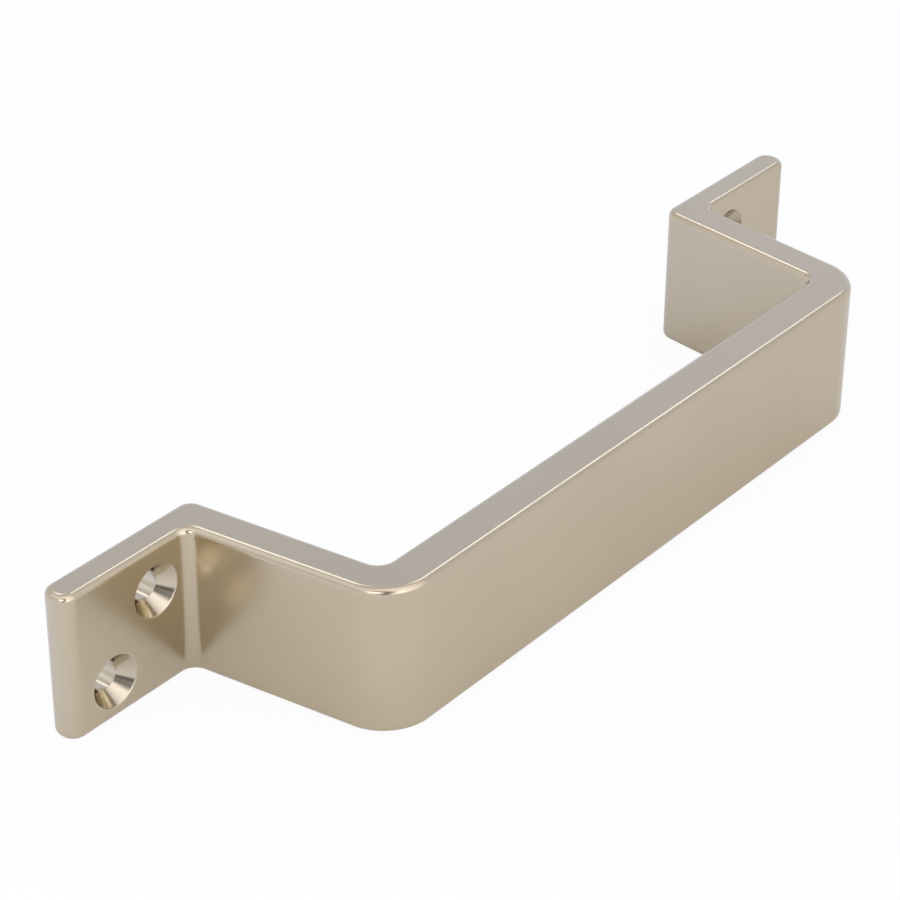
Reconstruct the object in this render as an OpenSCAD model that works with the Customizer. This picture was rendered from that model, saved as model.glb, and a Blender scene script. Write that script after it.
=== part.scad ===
// Pull handle: one flat bar with rounded long edges, bent into a hat shape.
// Two feet lie on the mounting plane, two leaning legs carry the grip, and each
// foot has two countersunk screw holes set on a diagonal.
//
// Millimetres. X runs along the grip. The feet lie against the plane Y = 0 and
// the grip stands out towards -Y. Z runs across the bar's width.
// The origin is on the mounting plane, midway between the two inner screw holes.

/* [Bar] */
// Width of the bar, from its lower to its upper long edge
bar_w = 25; // [20:0.5:35]
// Thickness of the grip
grip_t = 7.3; // [5:0.1:10]
// Thickness of each leg
leg_t = 6.5; // [5:0.1:9]
// Thickness of each foot
foot_t = 5.2; // [4:0.1:7]
// Rounding radius of the long edges
edge_r = 1.2; // [0.4:0.1:1.4]

/* [Grip and legs] */
// Length of the grip over its outer corners, before they are rounded
grip_l = 122; // [95:1:220]
// Distance from the mounting plane to the front of the grip
reach = 40.5; // [32:0.5:60]
// Lean of the legs away from square, which sets the feet wider apart than the grip
leg_lean = 7.5; // [2:0.5:12]
// Outside radius of the bends between the legs and the grip
bend_outer_r = 8.5; // [4:0.5:11]
// Inside radius of the bends between the legs and the grip
bend_inner_r = 2.5; // [1.5:0.25:4]

/* [Feet] */
// Length of each foot, from the leg's front corner to the foot's end
foot_l = 24.6; // [22.6:0.5:40.6]
// Rounding radius of the heel, at the back between the foot and the leg
heel_r = 2.5; // [1.5:0.25:4]
// Fillet radius of the root, at the front between the foot and the leg
root_r = 2.1; // [1:0.1:3]
// Rounding radius of the end's front corner
end_front_r = 2.4; // [1.5:0.1:3]
// Rounding radius of the end's back corner
end_back_r = 2.4; // [1.5:0.1:3]

/* [Screw holes] */
// Diameter of the screw's clearance hole
screw_d = 4.8; // [3.5:0.1:6]
// Diameter of the countersink at the foot's face
sink_d = 9; // [7.5:0.1:10.5]
// Angle of the countersink, from side to side
sink_angle = 80; // [75:1:95]
// Rounding radius of the countersink's rim
sink_rim_r = 0.4; // [0.2:0.05:0.8]
// Distance from the leg's front corner to the centre of the inner hole
inner_hole_in = 6.7; // [5.5:0.1:8]
// Distance from the bar's upper edge to the centre of the inner hole
inner_hole_down = 7.7; // [6:0.1:12]
// Distance from the foot's end to the centre of the outer hole
outer_hole_in = 8.9; // [7:0.1:10]
// Distance from the bar's lower edge to the centre of the outer hole
outer_hole_up = 6.4; // [6:0.1:12]

/* [Hidden] */
$fn = 96;

// How far a cut runs past the surface that it opens
cut_past = 1;

// Heights of the bar's two long edges
upper_z = inner_hole_down;
lower_z = upper_z - bar_w;

// Half spans across the handle, at the corners of its outline
foot_x = grip_l / 2 + (reach - foot_t) * tan(leg_lean);
end_x = foot_x + foot_l;
heel_x = grip_l / 2 + reach * tan(leg_lean) - leg_t / cos(leg_lean);
palm_x = grip_l / 2 + grip_t * tan(leg_lean) - leg_t / cos(leg_lean);

// The end's two roundings leave a narrow flat strip between them
end_r_most = 0.47 * foot_t;

// Corners of the outline seen from above, each as [x, y, radius]. They run with
// the metal on their left: the front from the left foot's end, then the back.
left_front = [
    [-end_x, 0, min(end_back_r, end_r_most)],
    [-end_x, -foot_t, min(end_front_r, end_r_most)],
    [-foot_x, -foot_t, root_r],
    [-grip_l / 2, -reach, bend_outer_r],
];
right_back = [
    [heel_x, 0, heel_r],
    [palm_x, grip_t - reach, bend_inner_r],
];
function mirrored(corners) =
    [for (i = [len(corners) - 1:-1:0]) [-corners[i][0], corners[i][1], corners[i][2]]];
outline = concat(left_front, mirrored(left_front), right_back, mirrored(right_back));
corner_count = len(outline);

// Corner i of the outline, counted round and round
function corner(i) = outline[(i + corner_count) % corner_count];
function place(i) = [corner(i)[0], corner(i)[1]];
function radius(i) = corner(i)[2];

// Side i runs straight from corner i to the next one
function along(i) = (place(i + 1) - place(i)) / norm(place(i + 1) - place(i));
function inward(i) = [-along(i)[1], along(i)[0]];
function heading(i) = atan2(along(i)[1], along(i)[0]);

// Turn at corner i, positive where the corner is convex
function turn(i) = asin(cross(along(i - 1), along(i)));
function is_convex(i) = turn(i) > 0;
// Length of side that the rounding of corner i takes from each of its two sides
function setback(i) = radius(i) * tan(abs(turn(i)) / 2);
// Shift from corner i to the point that lies a depth of 1 inside both of its sides
function inset(i) = (inward(i - 1) + inward(i)) / (1 + inward(i - 1) * inward(i));
// Centre of the arc that rounds corner i
function arc_centre(i) = place(i) + inset(i) * (is_convex(i) ? radius(i) : -radius(i));

// Thickness of the bar behind each side of the outline
side_t = [foot_t, foot_t, leg_t, grip_t, leg_t, foot_t, foot_t, foot_t, leg_t, grip_t, leg_t, foot_t];
function thickness(i) = side_t[(i + corner_count) % corner_count];

// The rim is the bar's skin, a little over half its thickness deep on every side
rim_share = 0.6;
function side_depth(i) = rim_share * thickness(i);
function corner_depth(i) = min(side_depth(i - 1), side_depth(i));

// Each corner's rim runs on into the sides by a lap, a hair under their faces, so
// that no two faces of neighbouring pieces coincide
seam_lap = 0.05;
seam_step = 0.015;
function lap_angle(i) = asin(seam_lap / radius(i));

// Section across the rim: X runs inward from the bar's face, Y across its width
module rim_section(depth, under = 0) {
    translate([edge_r, lower_z + under]) square([depth - edge_r, bar_w - 2 * under]);
    translate([under, lower_z + edge_r]) square([depth - under, bar_w - 2 * edge_r]);
    translate([edge_r, lower_z + edge_r]) circle(r = edge_r - under);
    translate([edge_r, upper_z - edge_r]) circle(r = edge_r - under);
}

// Rim along the straight part of side i
module rim_side(i) {
    start = place(i) + along(i) * setback(i);
    length = norm(place(i + 1) - place(i)) - setback(i) - setback(i + 1);
    translate([start[0], start[1], 0])
        rotate([90, 0, heading(i) + 90])
            linear_extrude(length) rim_section(side_depth(i));
}

// Rim round corner i, turned about the centre of its arc
module rim_corner(i) {
    turned = abs(turn(i)) + 2 * lap_angle(i);
    translate([arc_centre(i)[0], arc_centre(i)[1], 0]) {
        if (is_convex(i))
            rotate([0, 0, heading(i - 1) - 90 - lap_angle(i)])
                rotate_extrude(angle = turned)
                    translate([radius(i), 0]) mirror([1, 0])
                        rim_section(min(corner_depth(i), radius(i)), seam_step);
        else
            rotate([0, 0, heading(i) + 90 - lap_angle(i)])
                rotate_extrude(angle = turned)
                    translate([radius(i), 0]) rim_section(corner_depth(i), seam_step);
    }
}

// The core fills what the rim leaves open inside thick bends
core_in = 1.3 * edge_r;

// Point on the arc of convex corner i, at a share of its turn and core_in inside it
function arc_point(i, share) =
    let (angle = heading(i - 1) - 90 + share * turn(i))
    arc_centre(i) + (radius(i) - core_in) * [cos(angle), sin(angle)];
function core_points(i) =
    is_convex(i)
    ? [arc_point(i, 0.25), arc_point(i, 0.75)]
    : [place(i) + inset(i) * core_in];

module core() {
    translate([0, 0, lower_z + 2 * seam_step])
        linear_extrude(bar_w - 4 * seam_step)
            polygon([for (i = [0:corner_count - 1]) each core_points(i)]);
}

module bent_bar() {
    core();
    for (i = [0:corner_count - 1]) {
        rim_side(i);
        rim_corner(i);
    }
}

// Countersunk screw hole on the axis, with the foot's face at Z = 0 and the foot
// below it. The cone leaves the rounded rim at a tangent.
module screw_hole() {
    side = sink_angle / 2;
    sink_r = sink_d / 2;
    screw_r = screw_d / 2;
    cone_top = [sink_r - sink_rim_r * cos(side), sink_rim_r * (sin(side) - 1)];
    cone_end = cone_top[1] - (cone_top[0] - screw_r) / tan(side);
    rotate_extrude()
        difference() {
            polygon([
                [0, cut_past],
                [sink_r, cut_past],
                [sink_r, 0],
                cone_top,
                [screw_r, cone_end],
                [screw_r, -foot_t - cut_past],
                [0, -foot_t - cut_past],
            ]);
            translate([sink_r, -sink_rim_r]) circle(r = sink_rim_r);
        }
}

inner_hole = [foot_x + inner_hole_in, 0];
outer_hole = [end_x - outer_hole_in, lower_z + outer_hole_up];

module screw_holes() {
    for (hand = [-1, 1], hole = [inner_hole, outer_hole])
        translate([hand * hole[0], -foot_t, hole[1]])
            rotate([90, 0, 0]) screw_hole();
}

module handle() {
    color([0.74, 0.69, 0.61])
        difference() {
            bent_bar();
            screw_holes();
        }
}

handle();
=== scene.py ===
"""The pull handle's looks: a bent flat bar of satin champagne aluminium, with
polished countersinks, standing on its lower edge on a pale studio floor.

Metres, in the CAD frame: X along the grip, the feet's backs on Y = 0 with the
grip towards -Y, and Z across the bar's width.
"""

from math import cos, pi, radians, sin, tan

import bmesh
import bpy
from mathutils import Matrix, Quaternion, Vector


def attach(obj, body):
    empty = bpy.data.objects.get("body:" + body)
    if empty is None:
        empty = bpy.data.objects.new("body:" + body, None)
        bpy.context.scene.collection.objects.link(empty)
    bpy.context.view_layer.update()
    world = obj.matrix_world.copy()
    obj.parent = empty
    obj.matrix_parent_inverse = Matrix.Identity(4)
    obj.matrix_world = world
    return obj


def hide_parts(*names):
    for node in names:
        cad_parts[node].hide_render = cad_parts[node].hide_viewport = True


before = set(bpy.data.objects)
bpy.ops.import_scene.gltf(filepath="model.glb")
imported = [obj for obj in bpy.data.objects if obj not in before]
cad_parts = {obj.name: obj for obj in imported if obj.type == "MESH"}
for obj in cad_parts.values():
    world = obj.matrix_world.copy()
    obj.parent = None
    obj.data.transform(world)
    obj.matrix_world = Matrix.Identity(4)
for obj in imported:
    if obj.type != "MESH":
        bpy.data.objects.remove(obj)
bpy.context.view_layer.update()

MM = 0.001

# The bar's sections and edges, as in the CAD source
BAR_TOP = 7.7 * MM
BAR_BOTTOM = -17.3 * MM
GRIP_T, LEG_T, FOOT_T = 7.3 * MM, 6.5 * MM, 5.2 * MM
EDGE_R = 1.2 * MM

# Half the grip's length, and the plan of the legs and feet
GRIP_HALF = 61 * MM
REACH = 40.5 * MM
LEG_LEAN = radians(7.5)
FOOT_L = 24.6 * MM
BEND_OUTER_R, BEND_INNER_R = 8.5 * MM, 2.5 * MM
HEEL_R, ROOT_R, END_R = 2.5 * MM, 2.1 * MM, 2.4 * MM

# Plan corners of the right half, as (x, y); the left half is their mirror image
FOOT_X = GRIP_HALF + (REACH - FOOT_T) * tan(LEG_LEAN)
END_X = FOOT_X + FOOT_L
HEEL_X = GRIP_HALF + REACH * tan(LEG_LEAN) - LEG_T / cos(LEG_LEAN)
PALM_X = GRIP_HALF + GRIP_T * tan(LEG_LEAN) - LEG_T / cos(LEG_LEAN)
ROOT, HEEL = (FOOT_X, -FOOT_T), (HEEL_X, 0)
KNUCKLE, PALM = (GRIP_HALF, -REACH), (PALM_X, GRIP_T - REACH)
END_FRONT, END_BACK = (END_X, -FOOT_T), (END_X, 0)

# How far the outline turns at the bends and at the feet's end corners
BEND_TURN, END_TURN = pi / 2 - LEG_LEAN, pi / 2

# Screw holes, as (x, z) of the right foot's
SCREW_R, SINK_R, SINK_RIM_R = 2.4 * MM, 4.5 * MM, 0.4 * MM
SINK_SIDE = radians(40)
HOLES = (
    (FOOT_X + 6.7 * MM, 0.0),
    (END_X - 8.9 * MM, BAR_BOTTOM + 6.4 * MM),
)
CUT_PAST = 1 * MM

# How finely the curves are cut, and the angle below which faces shade as one
BEND_STEPS, CORNER_STEPS, EDGE_STEPS = 40, 16, 10
HOLE_STEPS, RIM_STEPS = 128, 8
SMOOTH_BELOW = radians(25)

# Two points closer than this are the same corner
SAME_PLACE = 1e-6


def mirrored(plan):
    return (-plan[0], plan[1])


def is_at(vertex, plan):
    return (vertex.co.xy - Vector(plan)).length < SAME_PLACE


def is_level(face):
    """Whether a face belongs to the bar's top or bottom, not to its sides."""
    return abs(face.normal.z) > cos(pi / 4)


def select_parts(obj, mode, wanted):
    """In edit mode, selects the vertices, edges or faces that wanted() picks."""
    bpy.ops.mesh.select_mode(type=mode)
    bpy.ops.mesh.select_all(action="DESELECT")
    mesh = bmesh.from_edit_mesh(obj.data)
    parts = {"VERT": mesh.verts, "EDGE": mesh.edges, "FACE": mesh.faces}[mode]
    for part in parts:
        if wanted(part):
            part.select_set(True)
    mesh.select_flush_mode()
    bmesh.update_edit_mesh(obj.data)


def extrude_section(obj, old, new):
    """Extrudes the section that lies at the plan corners old, and lays the new
    section's corners at the plan corners new."""
    select_parts(obj, "FACE", lambda face: all(
        is_at(v, old[0]) or is_at(v, old[1]) for v in face.verts))
    bpy.ops.mesh.extrude_region_move()
    mesh = bmesh.from_edit_mesh(obj.data)
    section = [v.index for v in mesh.verts if v.select]
    for old_corner, new_corner in zip(old, new):
        mesh = bmesh.from_edit_mesh(obj.data)
        mesh.verts.ensure_lookup_table()
        moving = {i for i in section if is_at(mesh.verts[i], old_corner)}
        select_parts(obj, "VERT", lambda vertex: vertex.index in moving)
        step = Vector(new_corner) - Vector(old_corner)
        bpy.ops.transform.translate(value=(step.x, step.y, 0))


def round_edges(offset, steps):
    """Rounds the selected edges, starting offset away from them."""
    bpy.ops.mesh.bevel(offset_type="OFFSET", offset=offset, segments=steps,
                       profile=0.5, affect="EDGES", clamp_overlap=False)


def round_corner(obj, plan, radius, turn, steps):
    """Rounds the upright edge at a plan corner where the outline turns by turn."""
    select_parts(obj, "EDGE", lambda edge: all(is_at(v, plan) for v in edge.verts))
    round_edges(radius * tan(turn / 2), steps)


def bent_bar():
    """One flat bar bent into a hat, with rounded bends and long edges."""
    bpy.ops.object.select_all(action="DESELECT")
    bpy.ops.mesh.primitive_cube_add(
        size=1,
        location=(-(END_X + FOOT_X) / 2, -FOOT_T / 2, (BAR_TOP + BAR_BOTTOM) / 2),
        scale=(FOOT_L, FOOT_T, BAR_TOP - BAR_BOTTOM),
    )
    bar = bpy.context.active_object
    bpy.ops.object.transform_apply(location=True, rotation=True, scale=True)
    bpy.ops.object.mode_set(mode="EDIT")

    # The foot's back runs on to the heel, so that the first section is a mitre
    select_parts(bar, "VERT", lambda vertex: is_at(vertex, (-FOOT_X, 0)))
    bpy.ops.transform.translate(value=(FOOT_X - HEEL_X, 0, 0))

    # From the left foot over the legs and the grip to the right foot's end
    sections = [
        (mirrored(ROOT), mirrored(HEEL)),
        (mirrored(KNUCKLE), mirrored(PALM)),
        (KNUCKLE, PALM),
        (ROOT, HEEL),
        (END_FRONT, END_BACK),
    ]
    for old, new in zip(sections, sections[1:]):
        extrude_section(bar, old, new)

    # The mitre lines go from the top and bottom, which then are one face each
    select_parts(bar, "EDGE", lambda edge: all(is_level(f) for f in edge.link_faces))
    bpy.ops.mesh.dissolve_edges(use_verts=False)

    for plan, radius, turn, steps in (
        (KNUCKLE, BEND_OUTER_R, BEND_TURN, BEND_STEPS),
        (PALM, BEND_INNER_R, BEND_TURN, CORNER_STEPS),
        (ROOT, ROOT_R, BEND_TURN, CORNER_STEPS),
        (HEEL, HEEL_R, BEND_TURN, CORNER_STEPS),
        (END_FRONT, END_R, END_TURN, CORNER_STEPS),
        (END_BACK, END_R, END_TURN, CORNER_STEPS),
    ):
        round_corner(bar, mirrored(plan), radius, turn, steps)
        round_corner(bar, plan, radius, turn, steps)

    # Long edges: where the upright sides meet the top and bottom
    select_parts(bar, "EDGE", lambda edge: len({is_level(f) for f in edge.link_faces}) == 2)
    round_edges(EDGE_R, EDGE_STEPS)
    bpy.ops.object.mode_set(mode="OBJECT")
    return bar


def extrude_ring(radius_from, radius_to, depth_step):
    """Extrudes the selected disc along -Y and resizes it."""
    bpy.ops.mesh.extrude_region_move(
        TRANSFORM_OT_translate={"value": (0, -depth_step, 0)})
    share = radius_to / radius_from
    bpy.ops.transform.resize(value=(share, 1, share))


def hole_cutter(x, z):
    """The body that cuts one screw hole: shank, cone and flared rim."""
    rim_in = SINK_R - SINK_RIM_R * cos(SINK_SIDE)
    rim_deep = SINK_RIM_R * (1 - sin(SINK_SIDE))
    cone_deep = rim_deep + (rim_in - SCREW_R) / tan(SINK_SIDE)

    # Radius and height over the foot's front face, past the foot at both ends
    profile = [(SCREW_R, -FOOT_T - CUT_PAST), (SCREW_R, -cone_deep), (rim_in, -rim_deep)]
    for i in range(1, RIM_STEPS + 1):
        angle = SINK_SIDE + (pi / 2 - SINK_SIDE) * i / RIM_STEPS
        profile.append((SINK_R - SINK_RIM_R * cos(angle), -SINK_RIM_R * (1 - sin(angle))))
    profile.append((SINK_R, CUT_PAST))

    bpy.ops.object.select_all(action="DESELECT")
    bpy.ops.mesh.primitive_circle_add(
        vertices=HOLE_STEPS, radius=SCREW_R, fill_type="NGON",
        location=(x, CUT_PAST, z), rotation=(pi / 2, 0, 0))
    cutter = bpy.context.active_object
    bpy.ops.object.mode_set(mode="EDIT")
    bpy.ops.mesh.select_all(action="SELECT")
    bpy.context.scene.cursor.location = (x, 0, z)
    bpy.context.scene.tool_settings.transform_pivot_point = "CURSOR"
    for (radius, height), (next_radius, next_height) in zip(profile, profile[1:]):
        extrude_ring(radius, next_radius, next_height - height)
    bpy.ops.mesh.select_all(action="SELECT")
    bpy.ops.mesh.normals_make_consistent(inside=False)
    bpy.ops.object.mode_set(mode="OBJECT")
    return cutter


def cut_hole(bar, x, z, lining):
    """Cuts one screw hole into the bar and lines it with a material."""
    cutter = hole_cutter(x, z)
    cutter.data.materials.append(lining)
    bpy.ops.object.select_all(action="DESELECT")
    bar.select_set(True)
    bpy.context.view_layer.objects.active = bar
    cut = bar.modifiers.new("screw_hole", "BOOLEAN")
    cut.operation, cut.solver, cut.object = "DIFFERENCE", "EXACT", cutter
    cut.material_mode = "TRANSFER"
    bpy.ops.object.modifier_apply(modifier=cut.name)
    bpy.data.objects.remove(cutter)


# The metal's patches, in waves a metre, and how far they lighten or darken it
PATCH_SCALE, PATCH_DARK, PATCH_LIGHT = 45, 0.975, 1.015
# Its fine grain, and how far the roughness varies with it
GRAIN_SCALE, GRAIN_HAZE = 2600, 0.02


def add_metal(name, colour, roughness, grain):
    """Plated metal: its colour drifts a little from patch to patch, and a fine
    grain, grain deep, varies its roughness and lies over it as bump."""
    material = bpy.data.materials.new(name)
    material.use_nodes = True
    nodes, links = material.node_tree.nodes, material.node_tree.links
    shader = nodes["Principled BSDF"]
    shader.inputs["Metallic"].default_value = 1
    place = nodes.new("ShaderNodeTexCoord")

    patches = nodes.new("ShaderNodeTexNoise")
    patches.inputs["Scale"].default_value = PATCH_SCALE
    patches.inputs["Detail"].default_value = 3
    links.new(place.outputs["Object"], patches.inputs["Vector"])

    tint = nodes.new("ShaderNodeValToRGB")
    dark, light = tint.color_ramp.elements
    dark.position, dark.color = 0.3, [c * PATCH_DARK for c in colour] + [1]
    light.position, light.color = 0.7, [c * PATCH_LIGHT for c in colour] + [1]
    links.new(patches.outputs["Fac"], tint.inputs["Fac"])
    links.new(tint.outputs["Color"], shader.inputs["Base Color"])

    speck = nodes.new("ShaderNodeTexNoise")
    speck.inputs["Scale"].default_value = GRAIN_SCALE
    speck.inputs["Detail"].default_value = 2
    links.new(place.outputs["Object"], speck.inputs["Vector"])

    haze = nodes.new("ShaderNodeMapRange")
    haze.inputs["To Min"].default_value = roughness - GRAIN_HAZE
    haze.inputs["To Max"].default_value = roughness + GRAIN_HAZE
    links.new(speck.outputs["Fac"], haze.inputs["Value"])
    links.new(haze.outputs["Result"], shader.inputs["Roughness"])

    bump = nodes.new("ShaderNodeBump")
    bump.inputs["Strength"].default_value = 1
    bump.inputs["Distance"].default_value = grain
    links.new(speck.outputs["Fac"], bump.inputs["Height"])
    links.new(bump.outputs["Normal"], shader.inputs["Normal"])
    return material


satin = add_metal("satin_champagne_aluminium", (0.572, 0.494, 0.356), 0.22, 0.001 * MM)
polished = add_metal("polished_countersink", (0.60, 0.53, 0.405), 0.18, 0.0003 * MM)

handle = bent_bar()
handle.data.materials.append(satin)
for hand in (-1, 1):
    for hole_x, hole_z in HOLES:
        cut_hole(handle, hand * hole_x, hole_z, polished)

bpy.ops.object.shade_smooth_by_angle(angle=SMOOTH_BELOW)
weighted = handle.modifiers.new("flat_faces", "WEIGHTED_NORMAL")
weighted.keep_sharp = True
bpy.ops.object.modifier_apply(modifier=weighted.name)
handle.name = handle.data.name = "handle_bar"

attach(handle, "root")
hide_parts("handle")


def map_range(nodes, links, value, start, end, low, high):
    """A node output that runs from low to high while value runs from start to end."""
    node = nodes.new("ShaderNodeMapRange")
    for name, number in (("From Min", start), ("From Max", end),
                         ("To Min", low), ("To Max", high)):
        node.inputs[name].default_value = number
    links.new(value, node.inputs["Value"])
    return node.outputs["Result"]


FLOOR_SIZE = 12

# Painted light and shade on the floor: its grey is lighter at -X and falls off along the
# handle to +X
PAINTED_FALL_OFF_X = 150 * MM
FLOOR_PAINTED_LIT, FLOOR_PAINTED_DIM = 0.91, 0.79

# Painted cool light: behind the handle the floor is painted a little cooler than in front of
# it
PAINTED_COOL_Y = 20 * MM
FLOOR_FRONT_HUE, FLOOR_PAINTED_COOL_HUE = (1, 1, 1, 1), (1, 1.04, 1.16, 1)

# How far the floor is lifted towards white for the eye, for metal and for glass
FLOOR_LIFT = (("Is Camera Ray", 0.93), ("Is Glossy Ray", 0.13), ("Is Transmission Ray", 0.1))


def studio_floor():
    """A wide pale floor that the handle stands on, with painted light in its colour:
    lighter towards -X, darker towards +X, and cooler behind the handle. The eye sees it
    lifted towards white, the metal less so, with the handle's soft shadow still in it."""
    bpy.ops.object.select_all(action="DESELECT")
    bpy.ops.mesh.primitive_plane_add(size=FLOOR_SIZE, location=(0, 0, BAR_BOTTOM))
    floor = bpy.context.active_object
    floor.name = "floor"
    material = bpy.data.materials.new("pale_floor")
    material.use_nodes = True
    nodes, links = material.node_tree.nodes, material.node_tree.links
    nodes.clear()

    place = nodes.new("ShaderNodeTexCoord")
    along = nodes.new("ShaderNodeSeparateXYZ")
    links.new(place.outputs["Object"], along.inputs["Vector"])
    # Painted cool light behind the handle, put into the floor's colour
    hue = nodes.new("ShaderNodeValToRGB")
    hue.color_ramp.elements[0].color = FLOOR_FRONT_HUE
    hue.color_ramp.elements[1].color = FLOOR_PAINTED_COOL_HUE
    links.new(map_range(nodes, links, along.outputs["Y"], -PAINTED_COOL_Y, PAINTED_COOL_Y, 0, 1),
              hue.inputs["Fac"])
    shade = nodes.new("ShaderNodeVectorMath")
    shade.operation = "SCALE"
    links.new(hue.outputs["Color"], shade.inputs[0])
    # Painted light falloff: the floor's colour is scaled from lighter at -X to darker at +X
    links.new(map_range(nodes, links, along.outputs["X"],
                        -PAINTED_FALL_OFF_X, PAINTED_FALL_OFF_X, FLOOR_PAINTED_LIT, FLOOR_PAINTED_DIM),
              shade.inputs["Scale"])

    paint = nodes.new("ShaderNodeBsdfDiffuse")
    links.new(shade.outputs[0], paint.inputs["Color"])
    white = nodes.new("ShaderNodeEmission")
    mix = nodes.new("ShaderNodeMixShader")
    links.new(paint.outputs[0], mix.inputs[1])
    links.new(white.outputs[0], mix.inputs[2])

    # The shares of the kinds of rays are added up to the mix's factor
    rays = nodes.new("ShaderNodeLightPath")
    lift = mix.inputs[0]
    for ray, share in FLOOR_LIFT:
        more = nodes.new("ShaderNodeMath")
        more.operation = "MULTIPLY_ADD"
        more.inputs[1].default_value = share
        more.inputs[2].default_value = 0
        links.new(rays.outputs[ray], more.inputs[0])
        links.new(more.outputs[0], lift)
        lift = more.inputs[2]

    output = nodes.new("ShaderNodeOutputMaterial")
    links.new(mix.outputs[0], output.inputs["Surface"])
    floor.data.materials.append(material)


# Parts of the sky's strength: a direction, the nearness to it where the part
# starts and where it is full, and the strength at both
SKY_PARTS = (
    ((0, 0, 1), 0.0, 0.5, 0.96, 0.77),                 # dimmer overhead
    ((-0.35, -0.75, 0.56), 0.5, 0.95, 1.0, 2.15),      # bright in front
    ((-0.69, -0.54, 0.48), 0.9, 0.97, 1.0, 0.05),      # dark photographer
    ((-0.71, -0.70, 0.09), 0.985, 0.995, 1.0, 0.02),   # dark tripod
)
# The sky's tint, by the nearness to the far end's direction
TINT_TOWARDS = (0.85, 0.40, 0.34)
SKY_TINTS = (
    (0.1, (0.985, 0.965, 1.03, 1)),
    (0.55, (0.985, 0.97, 1.04, 1)),
    (0.9, (0.93, 0.995, 1.21, 1)),
    (1.0, (1.0, 1.06, 1.3, 1)),
)


def studio_sky():
    """Pale light from all round: cooler at the far end, dimmer overhead, brighter
    in front, and dark where the photographer and the tripod stand."""
    world = bpy.data.worlds.new("studio")
    bpy.context.scene.world = world
    world.use_nodes = True
    nodes, links = world.node_tree.nodes, world.node_tree.links
    sky = nodes["Background"]
    direction = nodes.new("ShaderNodeTexCoord")

    def nearness(towards):
        near = nodes.new("ShaderNodeVectorMath")
        near.operation = "DOT_PRODUCT"
        near.inputs[1].default_value = towards
        links.new(direction.outputs["Generated"], near.inputs[0])
        return near.outputs["Value"]

    tint = nodes.new("ShaderNodeValToRGB")
    stops = tint.color_ramp.elements
    for stop, (position, colour) in zip((stops[0], stops[1]), (SKY_TINTS[0], SKY_TINTS[-1])):
        stop.position, stop.color = position, colour
    for position, colour in SKY_TINTS[1:-1]:
        stops.new(position).color = colour
    links.new(nearness(TINT_TOWARDS), tint.inputs["Fac"])
    links.new(tint.outputs["Color"], sky.inputs["Color"])

    strength = None
    for towards, start, end, low, high in SKY_PARTS:
        part = map_range(nodes, links, nearness(towards), start, end, low, high)
        if strength is not None:
            times = nodes.new("ShaderNodeMath")
            times.operation = "MULTIPLY"
            links.new(strength, times.inputs[0])
            links.new(part, times.inputs[1])
            part = times.outputs[0]
        strength = part
    links.new(strength, sky.inputs["Strength"])


# Soft lamps: name, place, target, width, height, watts and colour
SOFTBOXES = (
    ("right_overhead", (0.83, 0.06, 1.02), (0, 0, 0), 0.25, 0.62, 0.95, (0.85, 0.88, 1)),
    ("rear_overhead", (0.22, 0.65, 1.10), (0, 0, 0), 0.34, 0.34, 0.78, (0.85, 0.88, 1)),
    ("left_window", (-0.42, 0.2, 0.44), (-0.06, 0, 0), 0.5, 0.4, 0.27, (0.75, 0.87, 1)),
    ("front_window", (-0.44, -1.17, 0.45), (0, 0, 0), 0.3, 0.5, 0.4, (0.9, 0.9, 1)),
    ("side_window", (-0.6, -0.3, 0.31), (-0.08, 0, 0), 0.28, 0.2, 0.6, (0.85, 0.88, 1)),
)


def softbox(name, at, target, width, height, watts, colour):
    """A rectangular soft lamp at a point, turned towards another."""
    bpy.ops.object.light_add(type="AREA", location=at)
    lamp = bpy.context.active_object
    lamp.name = name
    lamp.rotation_euler = (Vector(target) - Vector(at)).to_track_quat("-Z", "Y").to_euler()
    lamp.data.shape = "RECTANGLE"
    lamp.data.size, lamp.data.size_y = width, height
    lamp.data.energy = watts
    lamp.data.color = colour


# The camera's place and the angles of its line of sight, fitted to the photograph
CAMERA_AT = (-314.72 * MM, -254.29 * MM, 237.06 * MM)
AZIMUTH, ELEVATION, ROLL = radians(-51.157), radians(31.683), radians(-0.392)
SENSOR_MM, LENS_MM = 36, 116.666
CLIP_NEAR, CLIP_FAR = 0.01, 50


def photo_camera():
    """The camera at the photograph's place and angle."""
    back = Vector((
        sin(AZIMUTH) * cos(ELEVATION),
        -cos(AZIMUTH) * cos(ELEVATION),
        sin(ELEVATION),
    ))
    bpy.ops.object.camera_add(location=CAMERA_AT)
    camera = bpy.context.active_object
    camera.name = "photo_camera"
    camera.rotation_mode = "QUATERNION"
    camera.rotation_quaternion = (
        (-back).to_track_quat("-Z", "Y") @ Quaternion((0, 0, 1), -ROLL))
    camera.data.sensor_width = SENSOR_MM
    camera.data.lens = LENS_MM
    camera.data.clip_start, camera.data.clip_end = CLIP_NEAR, CLIP_FAR
    bpy.context.scene.camera = camera


studio_floor()
studio_sky()
for box in SOFTBOXES:
    softbox(*box)
photo_camera()
bpy.context.scene.view_settings.view_transform = "Standard"
